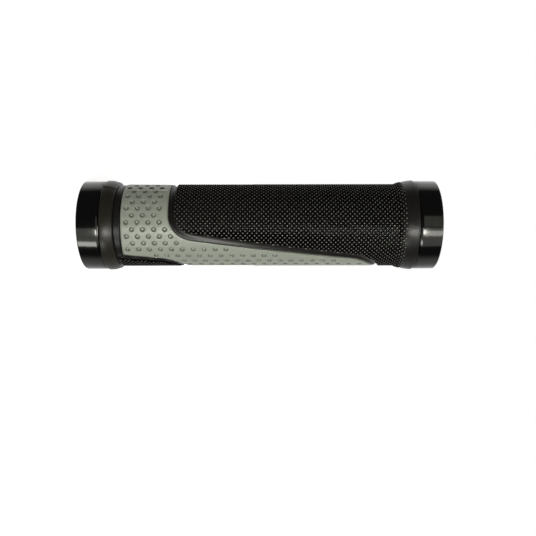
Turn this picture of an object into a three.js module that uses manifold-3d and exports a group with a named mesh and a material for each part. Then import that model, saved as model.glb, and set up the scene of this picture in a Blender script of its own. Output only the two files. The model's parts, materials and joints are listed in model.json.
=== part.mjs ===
// A bicycle handlebar grip that clamps on: a rubber grip moulded over a hard sleeve, with a clamp ring
// at each end. All sizes are in millimetres. The grip stands on the ring beside its grey band, with its
// axis along +Z. Angles go round the axis in degrees, from 0 at -Y, through 90 at +X.

import * as THREE from 'three';
import { mergeVertices } from 'three/addons/utils/BufferGeometryUtils.js';
import Module from 'manifold-3d';

// Along the axis
const gripLength = 130;
const ringWidth = 7.8;
const ringGap = 0.3;
const flangeWidth = 4.8;
const flareLength = 6.6;
const bandSetback = 2.5;
const bandWidth = 17;
const tongueRearSetback = 6.1;
const tongueTipSetback = 7.6;

// From the bar outwards
const boreDiameter = 22.3;
const sleeveWall = 1.2;
const moulding = 0.3;
const rubberUnderPad = 1.25;
const padThickness = 1.1;
const knurlStep = 0.1;
const flangeRise = 1.55;
const flangeShoulderRise = 0.75;
const flangeChamfer = 0.5;
const ringStep = 0.25;

// Shares of the flange's width, from the ring: where its flat ends and where its brow has dropped a step
const flangeFlatShare = 0.45;
const flangeBrowShare = 0.65;

// Share of the flare's length, from the body, where its curve has turned along the axis
const flareBendShare = 0.35;

// The grey pad's outline, as angles round the grip and as radii on the unrolled surface
const seamAngle = -57;
const wingRootAngle = 15.9;
const wingTipAngle = 58.2;
const bandCornerAngle = 43.8;
const wingRootRadius = 9.7;
const tongueTipRadius = 11.6;
const tongueRearRadius = 11.6;

// Grooves and edges round the pad
const padBevelWidth = 0.8;
const padBevelDrop = 0.3;
const grooveWidth = 2.2;
const bandGrooveWidth = 1.7;
const tipGrooveWidth = 1.5;
const grooveDepth = 0.85;
const grooveWallRun = 0.3;
const flankDepth = 0.3;
const collarDepth = 0.2;
const collarRunOut = 6;
const creaseWidth = 0.3;
const creaseDepth = 0.3;

// Dimples in the pad
const dimpleDiameter = 1.9;
const dimpleDepth = 0.45;
const dimplePitch = 3.92;
const dimpleFirst = 2.1;
const dimpleRowAngle = 33.9;
const bandRowPitch = 9.75;
const bandRows = 20;
const tongueRows = 14;
const dimpleEdgeMargin = 1.69;
const dimpleRearMargin = 1.25;

// Clamp rings, their set screws and the sleeve's keys
const ringEdgeChamfer = 0.25;
const ringLipRun = 0.75;
const ringLipDrop = 0.3;
const ringBoreChamfer = 0.4;
const screwAngle = 95;
const screwDiameter = 3;
const screwLength = 3.6;
const screwSetback = 1.1;
const screwPoint = 0.5;
const screwFit = 0.2;
const socketAcrossFlats = 1.5;
const socketDepth = 1.7;
const keyCount = 3;
const keyAngle = 30;
const keyLength = 5;
const keyFit = 0.3;

// Facets
const turnSegments = 72;
const fineStep = 2.5;
const flareSteps = 6;
const screwSegments = 20;
const hexagonSides = 6;
const dimpleSides = 6;
const sameVertex = 1e-5;

// Cutters: how far they reach past what they cut, and the lean of a wall that must not meet its own foot
const cutterReach = 1;
const cutterLean = 0.03;

// Worked out: radii from the bore outwards
const boreRadius = boreDiameter / 2;
const sleeveRadius = boreRadius + sleeveWall;
const rubberBoreRadius = sleeveRadius + moulding;
const recessRadius = rubberBoreRadius + rubberUnderPad;
const padInnerRadius = recessRadius + moulding;
const padRadius = padInnerRadius + padThickness;
const bodyRadius = padRadius - knurlStep;
const flangeRadius = bodyRadius + flangeRise;
const ringRadius = flangeRadius - ringStep;

// Worked out: stations along the axis
const rubberStart = ringWidth + ringGap;
const rubberEnd = gripLength - rubberStart;
const flangeEnd = rubberStart + flangeWidth;
const flareStart = rubberEnd - flareLength;
const bandStart = flangeEnd + bandSetback;
const bandEnd = bandStart + bandWidth;
const tongueRear = bandEnd + tongueRearSetback;
const tongueTip = flareStart - tongueTipSetback;

const wasm = await Module();
wasm.setup();

const radians = THREE.MathUtils.degToRad;

// A point on the grip, from its radius, its angle and its height along the axis.
function around(radius, angle, z) {
  return [radius * Math.sin(radians(angle)), -radius * Math.cos(radians(angle)), z];
}

// Distance along the pad's unrolled surface for an angle round the grip.
const unrolled = (angle) => padRadius * radians(angle);

// Slope of the wing's long straight edge on the unrolled surface. The rear edge is parallel to it.
const wingRise = unrolled(wingTipAngle) - unrolled(wingRootAngle);
const wingSlope = wingRise / (tongueTip - bandEnd);
const wingCosine = Math.cos(Math.atan(wingSlope));

// The unrolled places of the two slanted edges at a height along the axis.
const wingPlace = (z) => unrolled(wingRootAngle) + wingSlope * (z - bandEnd);
const rearPlace = (z) => unrolled(bandCornerAngle) + wingSlope * (z - bandStart);

// An arc between a slanted edge and an edge square to the axis: the height and place of its centre, which
// lies on one side of the slanted edge, towards larger places (1) or smaller ones (-1).
function bend(z, radius, slantedPlace, side) {
  return { z, radius, side, place: slantedPlace(z) + (side * radius) / wingCosine };
}

const rootBend = bend(bandEnd + wingRootRadius, wingRootRadius, wingPlace, -1);
const tipBend = bend(tongueTip - tongueTipRadius, tongueTipRadius, wingPlace, 1);
const rearBend = bend(tongueRear - tongueRearRadius, tongueRearRadius, rearPlace, 1);

// The unrolled place of an angle, with the half behind the seam folded onto the half in front of it.
function foldedPlace(angle) {
  const turn = THREE.MathUtils.euclideanModulo(angle - seamAngle, 360);
  return unrolled(seamAngle + Math.min(turn, 360 - turn));
}

// Height of the pad's edge on the knurl side, moved outwards from the pad by offset: the band's straight
// edge, a hollow corner, the wing's slanted edge, the tongue's round corner and its end.
function knurlEdge(angle, offset) {
  const place = foldedPlace(angle);
  const rootRadius = rootBend.radius - offset;
  const tipRadius = tipBend.radius + offset;
  if (place <= rootBend.place) return bandEnd + offset;
  if (place <= rootBend.place + rootRadius * wingCosine) {
    return rootBend.z - Math.sqrt(rootRadius ** 2 - (place - rootBend.place) ** 2);
  }
  if (place <= tipBend.place - tipRadius * wingCosine) {
    return bandEnd + (place - wingPlace(bandEnd) + offset / wingCosine) / wingSlope;
  }
  if (place <= tipBend.place) {
    return tipBend.z + Math.sqrt(tipRadius ** 2 - (place - tipBend.place) ** 2);
  }
  return tongueTip + offset;
}

// Height of the pad's other edge, moved outwards by offset: the band's straight edge beside the flange,
// then the slanted edge and the round corner of the knurled patch behind the tongue.
function rearEdge(angle, offset) {
  const place = foldedPlace(angle);
  const radius = rearBend.radius - offset;
  const straight = bandStart - offset;
  if (place >= rearBend.place) return tongueRear - offset;
  if (place >= rearBend.place - radius * wingCosine) {
    return Math.max(straight, rearBend.z + Math.sqrt(radius ** 2 - (place - rearBend.place) ** 2));
  }
  const slant = bandStart + (place - rearPlace(bandStart) - offset / wingCosine) / wingSlope;
  return Math.max(straight, slant);
}

const inPatch = (angle) => foldedPlace(angle) > unrolled(bandCornerAngle);

// Angles of the facets' edges round the grip: the given ones, with finer steps where the outline bends.
function outlineAngles(plainAngles) {
  const stepPlace = 2 * unrolled(fineStep);
  const isBend = (place) =>
    [rootBend, tipBend, rearBend].some((arc) => {
      const away = (arc.place - place) * arc.side;
      return away > -stepPlace && away < arc.radius * wingCosine + stepPlace;
    });
  const angles = new Set([bandCornerAngle, 2 * seamAngle - bandCornerAngle + 360]);
  for (let angle = 0; angle < 360; angle += fineStep) {
    if (isBend(foldedPlace(angle))) angles.add(angle);
  }
  for (const plain of plainAngles) {
    const angle = THREE.MathUtils.euclideanModulo(plain, 360);
    const isFree = [...angles].every((other) => Math.abs(other - angle) > fineStep / 2);
    if (isFree) angles.add(angle);
  }
  return [...angles].sort((a, b) => a - b);
}

const turnAngles = Array.from({ length: turnSegments }, (_, turn) => (turn * 360) / turnSegments);

// A closed ring whose section, a list of [radius, height] points anticlockwise, changes round the axis.
function changingRing(angles, sectionAt) {
  const positions = [];
  const indices = [];
  const sections = angles.map((angle) => sectionAt(angle));
  const count = sections[0].length;
  sections.forEach((section, turn) => {
    for (const [radius, z] of section) positions.push(...around(radius, angles[turn], z));
  });
  for (let turn = 0; turn < angles.length; turn += 1) {
    const next = (turn + 1) % angles.length;
    for (let point = 0; point < count; point += 1) {
      const after = (point + 1) % count;
      const a = turn * count + point;
      const b = turn * count + after;
      const c = next * count + after;
      const d = next * count + point;
      indices.push(a, c, b, a, d, c);
    }
  }
  const geometry = new THREE.BufferGeometry();
  geometry.setAttribute('position', new THREE.Float32BufferAttribute(positions, 3));
  geometry.setIndex(indices);
  return geometry;
}

// A turned ring about the axis, from a closed section of [radius, height] points anticlockwise.
function turnedRing(section) {
  return changingRing(turnAngles, () => section);
}

function toSolid(geometry) {
  const bare = geometry.clone();
  bare.deleteAttribute('normal');
  bare.deleteAttribute('uv');
  const merged = mergeVertices(bare, sameVertex);
  const vertProperties = new Float32Array(merged.getAttribute('position').array);
  const triVerts = new Uint32Array(merged.getIndex().array);
  return new wasm.Manifold(new wasm.Mesh({ numProp: 3, vertProperties, triVerts }));
}

function toGeometry(solid) {
  const { numProp, vertProperties, triVerts } = solid.getMesh();
  const positions = new Float32Array((vertProperties.length / numProp) * 3);
  for (let vertex = 0; vertex < positions.length / 3; vertex += 1) {
    for (let axis = 0; axis < 3; axis += 1) {
      positions[vertex * 3 + axis] = vertProperties[vertex * numProp + axis];
    }
  }
  const geometry = new THREE.BufferGeometry();
  geometry.setAttribute('position', new THREE.BufferAttribute(positions, 3));
  geometry.setIndex(new THREE.BufferAttribute(new Uint32Array(triVerts), 1));
  return geometry;
}

// A slice of a tube between two radii, two angles and two heights.
function tubeSlice(innerRadius, outerRadius, middleAngle, width, bottom, top) {
  const from = radians(middleAngle - width / 2 - 90);
  const to = radians(middleAngle + width / 2 - 90);
  const shape = new THREE.Shape();
  shape.absarc(0, 0, outerRadius, from, to, false);
  shape.absarc(0, 0, innerRadius, to, from, true);
  shape.closePath();
  const geometry = new THREE.ExtrudeGeometry(shape, {
    depth: top - bottom,
    bevelEnabled: false,
    curveSegments: Math.ceil((width * turnSegments) / 360),
  });
  return geometry.translate(0, 0, bottom);
}

// Turns a geometry made along +Z at the origin so that it points outwards at an angle and a height.
function pointOutwards(geometry, radius, angle, z) {
  geometry.rotateX(Math.PI / 2);
  geometry.rotateZ(radians(angle));
  return geometry.translate(...around(radius, angle, z));
}

function cylinderBetween(radius, from, to, sides, tipRadius = radius) {
  const geometry = new THREE.CylinderGeometry(radius, tipRadius, to - from, sides);
  return geometry.rotateX(Math.PI / 2).translate(0, 0, (from + to) / 2);
}

const keyAngles = Array.from({ length: keyCount }, (_, key) => screwAngle + ((key + 0.5) * 360) / keyCount);

// The hard sleeve round the bar, with keys at both ends that reach into the rings.
function innerSleeve() {
  const bottom = rubberStart - keyLength;
  const top = rubberEnd + keyLength;
  const tube = toSolid(
    turnedRing([[boreRadius, bottom], [sleeveRadius, bottom], [sleeveRadius, top], [boreRadius, top]]),
  );
  const gapAngle = 360 / keyCount - keyAngle;
  const gaps = keyAngles.flatMap((angle) => {
    const middle = angle + 180 / keyCount;
    const cut = [boreRadius - cutterReach, sleeveRadius + cutterReach, middle, gapAngle];
    return [
      toSolid(tubeSlice(...cut, bottom - cutterReach, rubberStart)),
      toSolid(tubeSlice(...cut, rubberEnd, top + cutterReach)),
    ];
  });
  return toGeometry(tube.subtract(wasm.Manifold.union(gaps)));
}

// Radius of the bottom of the groove beside the pad's rear edge, which is a shallow collar along the flange
// and sinks to the full depth where the edge leaves the flange.
function rearGrooveRadius(angle) {
  const sunk = THREE.MathUtils.smoothstep(
    foldedPlace(angle),
    unrolled(bandCornerAngle),
    unrolled(bandCornerAngle + collarRunOut),
  );
  return THREE.MathUtils.lerp(bodyRadius - collarDepth, padRadius - grooveDepth, sunk);
}

// Width of the groove beside the knurl, which is widest along the wing and narrows towards the band's straight
// edge and the tongue's tip.
function knurlGrooveWidth(angle) {
  const place = foldedPlace(angle);
  const { lerp, smoothstep } = THREE.MathUtils;
  const pastRoot = smoothstep(place, rootBend.place, rootBend.place + rootBend.radius);
  const roundTip = smoothstep(place, tipBend.place - tipBend.radius, tipBend.place);
  return lerp(lerp(bandGrooveWidth, grooveWidth, pastRoot), tipGrooveWidth, roundTip);
}

// The section of the recess for the pad and of the grooves round it, at one angle.
function recessSection(angle) {
  const clearOfGrip = flangeRadius + cutterReach;
  const flankRadius = padRadius - flankDepth;
  const grooveRadius = padRadius - grooveDepth;
  const patch = inPatch(angle);
  const creaseEnd = flangeEnd + creaseWidth;
  const rearFoot = patch ? Math.max(creaseEnd, rearEdge(angle, grooveWidth)) : creaseEnd;
  const rearWall = patch ? Math.max(creaseEnd, rearEdge(angle, grooveWidth + grooveWallRun)) : creaseEnd;
  const knurlFoot = knurlGrooveWidth(angle);
  return [
    [recessRadius, rearEdge(angle, moulding)],
    [flankRadius, rearEdge(angle, moulding)],
    [rearGrooveRadius(angle), rearFoot],
    [clearOfGrip, Math.min(rearWall, rearFoot - cutterLean)],
    [clearOfGrip, knurlEdge(angle, knurlFoot + grooveWallRun)],
    [grooveRadius, knurlEdge(angle, knurlFoot)],
    [flankRadius, knurlEdge(angle, moulding)],
    [recessRadius, knurlEdge(angle, moulding)],
  ];
}

// The black rubber: a squared flange by one ring, the knurled body, and a flare up to the other ring.
function gripRubber() {
  const creaseRadius = bodyRadius - creaseDepth;
  const shoulderRadius = bodyRadius + flangeShoulderRise;
  const flareCurve = new THREE.QuadraticBezierCurve(
    new THREE.Vector2(bodyRadius, flareStart),
    new THREE.Vector2(flangeRadius - ringStep, flareStart + flareLength * flareBendShare),
    new THREE.Vector2(flangeRadius, rubberEnd - ringGap),
  );
  const flare = flareCurve.getPoints(flareSteps).map((point) => [point.x, point.y]);
  const section = [
    [rubberBoreRadius, rubberStart],
    [flangeRadius - flangeChamfer, rubberStart],
    [flangeRadius, rubberStart + flangeChamfer],
    [flangeRadius, rubberStart + flangeWidth * flangeFlatShare],
    [flangeRadius - ringStep, rubberStart + flangeWidth * flangeBrowShare],
    [shoulderRadius, flangeEnd - creaseWidth],
    [shoulderRadius - creaseWidth, flangeEnd],
    [creaseRadius, flangeEnd],
    [creaseRadius, flangeEnd + creaseWidth],
    [bodyRadius, flangeEnd + creaseWidth + knurlStep],
    ...flare,
    [flangeRadius - ringGap, rubberEnd],
    [rubberBoreRadius, rubberEnd],
  ];
  const body = toSolid(turnedRing(section));
  const recess = toSolid(changingRing(outlineAngles(turnAngles), recessSection));
  return toGeometry(body.subtract(recess));
}

// The angle of a row of dimples. The rows go once round the grip, closer together across the band than
// across the tongue. A half number is a place between two rows.
function rowAngle(row) {
  const tongueRowPitch = (360 - bandRows * bandRowPitch) / tongueRows;
  return dimpleRowAngle + row * (row < 0 ? bandRowPitch : tongueRowPitch);
}

const rowNumbers = Array.from({ length: bandRows + tongueRows }, (_, index) => index + 1 - bandRows);

// Where the dimples lie, as [angle, height]: staggered rows, kept a margin inside the pad's edges.
function dimplePlaces() {
  return rowNumbers.flatMap((row) => {
    const angle = rowAngle(row);
    const stagger = row % 2 === 0 ? 0 : dimplePitch / 2;
    const lowest = rearEdge(angle, -dimpleRearMargin);
    const highest = knurlEdge(angle, -dimpleEdgeMargin);
    const places = [];
    for (let z = bandStart + dimpleFirst + stagger; z < highest; z += dimplePitch) {
      if (z > lowest) places.push([angle, z]);
    }
    return places;
  });
}

// The grey rubber pad: a band round the grip and a tongue along its back, flush with the knurl.
function greyPad() {
  const edgeRadius = padRadius - padBevelDrop;
  const facetAngles = outlineAngles(rowNumbers.map((row) => rowAngle(row + 0.5)));
  const blank = changingRing(facetAngles, (angle) => [
    [padInnerRadius, rearEdge(angle, 0)],
    [edgeRadius, rearEdge(angle, 0)],
    [padRadius, rearEdge(angle, -padBevelWidth)],
    [padRadius, knurlEdge(angle, -padBevelWidth)],
    [edgeRadius, knurlEdge(angle, 0)],
    [padInnerRadius, knurlEdge(angle, 0)],
  ]);
  // Each cutter is a cone as tall above the surface as below it, so its rim there is twice the dimple's.
  const cutters = dimplePlaces().map(([angle, z]) => {
    const cutter = cylinderBetween(dimpleDiameter, -dimpleDepth, dimpleDepth, dimpleSides, 0);
    return toSolid(pointOutwards(cutter, padRadius, angle, z));
  });
  return toGeometry(toSolid(blank).subtract(wasm.Manifold.union(cutters)));
}

// A closed aluminium ring. Its outer edge slopes to a lip beside the rubber. Its keyways open on the face
// towards the rubber, at z = ringWidth, and a threaded hole for the set screw runs through the wall half-way
// along.
function clampRing() {
  const body = toSolid(
    turnedRing([
      [boreRadius + ringBoreChamfer, 0],
      [ringRadius - ringEdgeChamfer, 0],
      [ringRadius, ringEdgeChamfer],
      [ringRadius, ringWidth - ringLipRun],
      [ringRadius - ringLipDrop, ringWidth],
      [boreRadius, ringWidth],
      [boreRadius, ringBoreChamfer],
    ]),
  );
  const keyDepth = keyLength - ringGap + keyFit;
  const fitAngle = 2 * THREE.MathUtils.radToDeg(keyFit / sleeveRadius);
  const keyways = keyAngles.map((angle) =>
    toSolid(
      tubeSlice(
        boreRadius - cutterReach,
        sleeveRadius + keyFit,
        angle,
        keyAngle + fitAngle,
        ringWidth - keyDepth,
        ringWidth + cutterReach,
      ),
    ),
  );
  const holeRadius = screwDiameter / 2 + screwFit;
  const holeEnd = boreRadius - ringRadius - cutterReach;
  const hole = cylinderBetween(holeRadius, holeEnd, cutterReach, screwSegments);
  const screwHole = toSolid(pointOutwards(hole, ringRadius, screwAngle, ringWidth / 2));
  return body.subtract(wasm.Manifold.union([...keyways, screwHole]));
}

// The same ring for the other end, turned over so that its keyways face the rubber.
function mirroredAlongAxis(solid) {
  return solid.mirror([0, 0, 1]).translate([0, 0, gripLength]);
}

// A socket set screw along +Z, its driven end at z = 0 and its chamfered point below.
function setScrew() {
  const radius = screwDiameter / 2;
  const section = [
    new THREE.Vector2(0, -screwLength),
    new THREE.Vector2(radius - screwPoint, -screwLength),
    new THREE.Vector2(radius, screwPoint - screwLength),
    new THREE.Vector2(radius, 0),
    new THREE.Vector2(0, 0),
  ];
  const body = new THREE.LatheGeometry(section, screwSegments).rotateX(Math.PI / 2);
  const socketRadius = socketAcrossFlats / Math.sqrt(3);
  const socket = cylinderBetween(socketRadius, -socketDepth, cutterReach, hexagonSides);
  return toGeometry(toSolid(body).subtract(toSolid(socket)));
}

function screwAt(z) {
  return pointOutwards(setScrew(), ringRadius - screwSetback, screwAngle, z);
}

const anodisedBlack = new THREE.MeshStandardMaterial({ color: 0x151515, roughness: 0.22, metalness: 0.8 });
const blackRubber = new THREE.MeshStandardMaterial({ color: 0x1c1b19, roughness: 0.6, metalness: 0 });
const greyRubber = new THREE.MeshStandardMaterial({ color: 0x8a8f81, roughness: 0.55, metalness: 0 });
const blackNylon = new THREE.MeshStandardMaterial({ color: 0x222222, roughness: 0.5, metalness: 0 });
const blackSteel = new THREE.MeshStandardMaterial({ color: 0x2a2a2c, roughness: 0.4, metalness: 1 });

const ring = clampRing();
const pieces = [
  ['inner_sleeve', innerSleeve(), blackNylon],
  ['grip_rubber', gripRubber(), blackRubber],
  ['grey_pad', greyPad(), greyRubber],
  ['clamp_ring_band_end', toGeometry(ring), anodisedBlack],
  ['clamp_ring_flare_end', toGeometry(mirroredAlongAxis(ring)), anodisedBlack],
  ['set_screw_band_end', screwAt(ringWidth / 2), blackSteel],
  ['set_screw_flare_end', screwAt(gripLength - ringWidth / 2), blackSteel],
];

const grip = new THREE.Group();
for (const [name, geometry, material] of pieces) {
  geometry.computeVertexNormals();
  const mesh = new THREE.Mesh(geometry, material);
  mesh.name = name;
  grip.add(mesh);
}

export default grip;
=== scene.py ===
# %% [markdown]
# # A bicycle handlebar grip with two clamp rings
# A hard nylon sleeve slides on the bar. Black rubber is moulded round it, with a grey rubber inlay, and an
# aluminium ring at each end clamps it to the bar. The CAD model has each piece at its true size and
# place, but its curves are coarse facets and its knurl is left smooth. This lesson loads that model as a
# fixed frame, makes each piece again with fine curves in the same place, and gives it its finish.

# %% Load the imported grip
import json
import math

import bmesh
import bpy
from mathutils import Matrix, Vector
from mathutils.geometry import delaunay_2d_cdt

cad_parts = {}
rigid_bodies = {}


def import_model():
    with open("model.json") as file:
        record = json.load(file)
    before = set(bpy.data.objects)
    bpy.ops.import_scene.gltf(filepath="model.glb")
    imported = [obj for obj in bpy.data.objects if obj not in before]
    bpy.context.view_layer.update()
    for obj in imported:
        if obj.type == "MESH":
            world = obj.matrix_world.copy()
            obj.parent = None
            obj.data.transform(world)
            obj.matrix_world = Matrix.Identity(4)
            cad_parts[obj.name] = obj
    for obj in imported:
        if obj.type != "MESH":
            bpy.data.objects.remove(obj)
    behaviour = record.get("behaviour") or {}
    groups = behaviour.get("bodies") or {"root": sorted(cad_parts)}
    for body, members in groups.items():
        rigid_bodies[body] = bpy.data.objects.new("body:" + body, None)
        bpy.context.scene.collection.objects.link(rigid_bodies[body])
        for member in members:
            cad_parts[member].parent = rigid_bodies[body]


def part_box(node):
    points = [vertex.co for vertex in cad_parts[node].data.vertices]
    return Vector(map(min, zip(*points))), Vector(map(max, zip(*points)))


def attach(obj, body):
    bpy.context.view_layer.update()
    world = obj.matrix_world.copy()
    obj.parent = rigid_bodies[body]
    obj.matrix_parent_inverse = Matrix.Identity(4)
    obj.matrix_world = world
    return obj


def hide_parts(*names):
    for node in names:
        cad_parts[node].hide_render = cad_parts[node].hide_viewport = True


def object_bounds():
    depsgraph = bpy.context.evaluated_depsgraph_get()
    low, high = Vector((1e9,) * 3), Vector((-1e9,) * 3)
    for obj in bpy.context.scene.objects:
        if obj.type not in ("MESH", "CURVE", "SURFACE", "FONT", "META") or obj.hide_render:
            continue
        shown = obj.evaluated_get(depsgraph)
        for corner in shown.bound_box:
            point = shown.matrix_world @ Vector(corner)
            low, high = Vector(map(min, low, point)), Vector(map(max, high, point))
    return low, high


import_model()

cad_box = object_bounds()
print("CAD box in metres:", [[round(side, 4) for side in corner] for corner in cad_box])

# %% [markdown]
# The grip stands on one ring with its axis along +Z. It is easiest to think in millimetres, a radius, an
# angle round the grip (0 at -Y, 90 at +X) and a height. Every size that the CAD boxes hold is read from
# them, so the fine pieces can't drift away from the solids. The rest are the wall steps and the outline
# of the grey inlay, which a box can't tell.

# %% Sizes in millimetres
MM = 0.001


def corners(node):
    """The lowest and highest corner of a CAD node, in millimetres."""
    return [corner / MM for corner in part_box(node)]


grip_length = cad_box[1].z / MM
ring_radius = corners("clamp_ring_band_end")[1].x
ring_width = corners("clamp_ring_band_end")[1].z
rubber_start = corners("grip_rubber")[0].z
rubber_end = corners("grip_rubber")[1].z
flange_radius = corners("grip_rubber")[1].x
sleeve_radius = corners("inner_sleeve")[1].x
sleeve_start = corners("inner_sleeve")[0].z
sleeve_end = corners("inner_sleeve")[1].z
band_start = corners("grey_pad")[0].z
tongue_tip = corners("grey_pad")[1].z

flange_width = 4.8
flare_length = 6.6
band_width = 17
patch_past_band = 6.1
flange_end = rubber_start + flange_width
flare_start = rubber_end - flare_length
band_end = band_start + band_width
tongue_rear = band_end + patch_past_band

part_gap = 0.3
sleeve_wall = 1.2
recess_wall = 1.25
pad_thickness = 1.1
knurl_height = 0.55
knurl_proud = 0.1
bore_radius = sleeve_radius - sleeve_wall
rubber_bore = sleeve_radius + part_gap
pad_inner = rubber_bore + recess_wall + part_gap
pad_radius = pad_inner + pad_thickness
root_radius = pad_radius + knurl_proud - knurl_height
print(f"{grip_length:.1f} long, rings {2 * ring_radius:.1f} across, body {2 * pad_radius:.1f} across")

# %% [markdown]
# The inlay's edge is drawn on the unrolled surface: straight across the band, round a hollow corner, down
# a long slant, and round the tongue's tip. Each edge is a formula that gives its height at an angle, and
# an offset moves it outwards, so the same formula draws the inlay's bevel and the groove beside it. The
# mould closes on a plane through the axis, and the outline behind that plane mirrors the one in front.

# %% The outline of the grey inlay
seam_angle = -57
wing_root_angle = 15.9
wing_tip_angle = 58.2
band_corner_angle = 43.8
wing_root_radius = 9.7
tongue_corner_radius = 11.6


def unrolled(angle):
    """Distance round the inlay's surface for an angle."""
    return pad_radius * math.radians(angle)


wing_slope = (unrolled(wing_tip_angle) - unrolled(wing_root_angle)) / (tongue_tip - band_end)
wing_cosine = math.cos(math.atan(wing_slope))


def folded(angle):
    """The unrolled place of an angle, with the half behind the mould's seam folded to the front."""
    turn = (angle - seam_angle) % 360
    return unrolled(seam_angle + min(turn, 360 - turn))


def bend_place(corner_angle, corner_z, z, radius, side):
    """Unrolled place of an arc's centre beside a slanted edge that starts at a corner."""
    return unrolled(corner_angle) + wing_slope * (z - corner_z) + side * radius / wing_cosine


root_z = band_end + wing_root_radius
tip_z = tongue_tip - tongue_corner_radius
rear_z = tongue_rear - tongue_corner_radius
root_place = bend_place(wing_root_angle, band_end, root_z, wing_root_radius, -1)
tip_place = bend_place(wing_root_angle, band_end, tip_z, tongue_corner_radius, 1)
rear_place = bend_place(band_corner_angle, band_start, rear_z, tongue_corner_radius, 1)


def knurl_edge(angle, offset):
    """Height of the inlay's edge beside the knurl, moved outwards by an offset."""
    place = folded(angle)
    root = wing_root_radius - offset
    tip = tongue_corner_radius + offset
    if place <= root_place:
        return band_end + offset
    if place <= root_place + root * wing_cosine:
        return root_z - math.sqrt(root**2 - (place - root_place) ** 2)
    if place <= tip_place - tip * wing_cosine:
        slant = place - unrolled(wing_root_angle) + offset / wing_cosine
        return band_end + slant / wing_slope
    if place <= tip_place:
        return tip_z + math.sqrt(tip**2 - (place - tip_place) ** 2)
    return tongue_tip + offset


def rear_edge(angle, offset):
    """Height of the inlay's other edge, beside the flange and the small knurled patch."""
    place = folded(angle)
    corner = tongue_corner_radius - offset
    straight = band_start - offset
    if place >= rear_place:
        return tongue_rear - offset
    if place >= rear_place - corner * wing_cosine:
        return max(straight, rear_z + math.sqrt(corner**2 - (place - rear_place) ** 2))
    slant = place - unrolled(band_corner_angle) - offset / wing_cosine
    return max(straight, band_start + slant / wing_slope)


print(f"the tongue starts at {knurl_edge(wing_root_angle, 0):.1f} and ends at {tongue_tip:.1f}")

# %% [markdown]
# Turned and moulded pieces are the same thing to a mesh: a section carried round an axis. A modifier such
# as Screw repeats one section, but the groove beside the inlay has another section at each angle, so a
# small function asks for the section at every angle and joins neighbours with faces. Edges sharper than
# a limit stay crisp, and the rest are shaded smooth.

# %% Helpers that carry a section round an axis
sharp_limit = 32
same_point = 1e-8


def around(radius, angle, z):
    """A point on the grip in metres, from millimetres and degrees."""
    turn = math.radians(angle)
    return Vector((radius * math.sin(turn), -radius * math.cos(turn), z)) * MM


def full_turn(count):
    """A number of angles, evenly spaced once round."""
    return [step * 360 / count for step in range(count)]


def softened(section, steps=4):
    """Rounds the corners of a closed section whose points are (radius, z, size of the rounding)."""
    places = [Vector((radius, z)) for radius, z, _ in section]
    path = []
    for index, (radius, z, size) in enumerate(section):
        if size == 0:
            path.append((radius, z))
            continue
        here = places[index]
        before = (places[index - 1] - here).normalized() * size
        after = (places[(index + 1) % len(places)] - here).normalized() * size
        for step in range(steps + 1):
            share = step / steps
            path.append(tuple(here + before * (1 - share) ** 2 + after * share**2))
    return path


def shade(form, limit):
    """Shades a bmesh smooth, apart from the edges that bend more than the limit in degrees."""
    for face in form.faces:
        face.smooth = True
    for edge in form.edges:
        bends = len(edge.link_faces) == 2 and edge.calc_face_angle(0) > math.radians(limit)
        edge.smooth = not bends


def make_piece(name, points, faces, limit=sharp_limit):
    """A mesh object from points in metres and faces, with doubled points merged."""
    form = bmesh.new()
    verts = [form.verts.new(point) for point in points]
    for face in faces:
        form.faces.new([verts[index] for index in face])
    bmesh.ops.remove_doubles(form, verts=form.verts, dist=same_point)
    bmesh.ops.dissolve_degenerate(form, edges=form.edges, dist=same_point)
    shade(form, limit)
    mesh = bpy.data.meshes.new(name)
    form.to_mesh(mesh)
    form.free()
    piece = bpy.data.objects.new(name, mesh)
    bpy.context.scene.collection.objects.link(piece)
    return piece


def revolve(name, angles, section_at, closed=True, limit=sharp_limit):
    """Carries a section, anticlockwise in (radius, z), once round the axis. An open one ends on the axis."""
    sections = [section_at(angle) for angle in angles]
    count = len(sections[0])
    points = [around(radius, angle, z) for angle, section in zip(angles, sections) for radius, z in section]
    faces = []
    for turn in range(len(angles)):
        here = turn * count
        there = (turn + 1) % len(angles) * count
        for point in range(count if closed else count - 1):
            after = (point + 1) % count
            faces.append((here + point, there + point, there + after, here + after))
    return make_piece(name, points, faces, limit)


# %% [markdown]
# ## The black rubber
# The rubber is one moulding: a squared flange beside the first ring, the body with a recess for the inlay,
# and a flare up to the second ring. Beside the inlay the mould leaves a smooth groove. The groove is a short
# list of (offset, depth beside the band, depth along the wing), and the outline's formulas place that list
# along the whole edge. Beside the band the groove slopes down to a steep wall, and along the wing it is
# wider and rounder, so the section blends the two depths and changes its width on the way. A fine raised
# line marks the two angles where the mould parts.

# %% The groove beside the inlay
groove = (
    (part_gap, 1.4, 1.4), (part_gap, 0.32, 0.4), (0.4, 0.18, 0.42), (0.58, 0.14, 0.47), (0.85, 0.32, 0.55),
    (1.1, 0.5, 0.62), (1.4, 0.71, 0.67), (1.65, 0.86, 0.69), (1.82, 0.9, 0.69), (1.98, 0.84, 0.67),
    (2.13, 0.6, 0.63), (2.28, 0.3, 0.57), (2.4, 0.15, 0.5), (2.52, 0.12, 0.46), (2.66, 0.4, 0.55),
)
wing_groove = 1.05
band_groove = 0.86
tip_groove = 0.76
recess_rows = 3
collar_depth = 0.3
row_rise = 0.01
patch_start = unrolled(band_corner_angle - 1)
patch_full = unrolled(band_corner_angle + 4)
flash_width = 0.22
flash_height = 0.32
seams = (seam_angle % 360, (seam_angle + 180) % 360)


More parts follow.
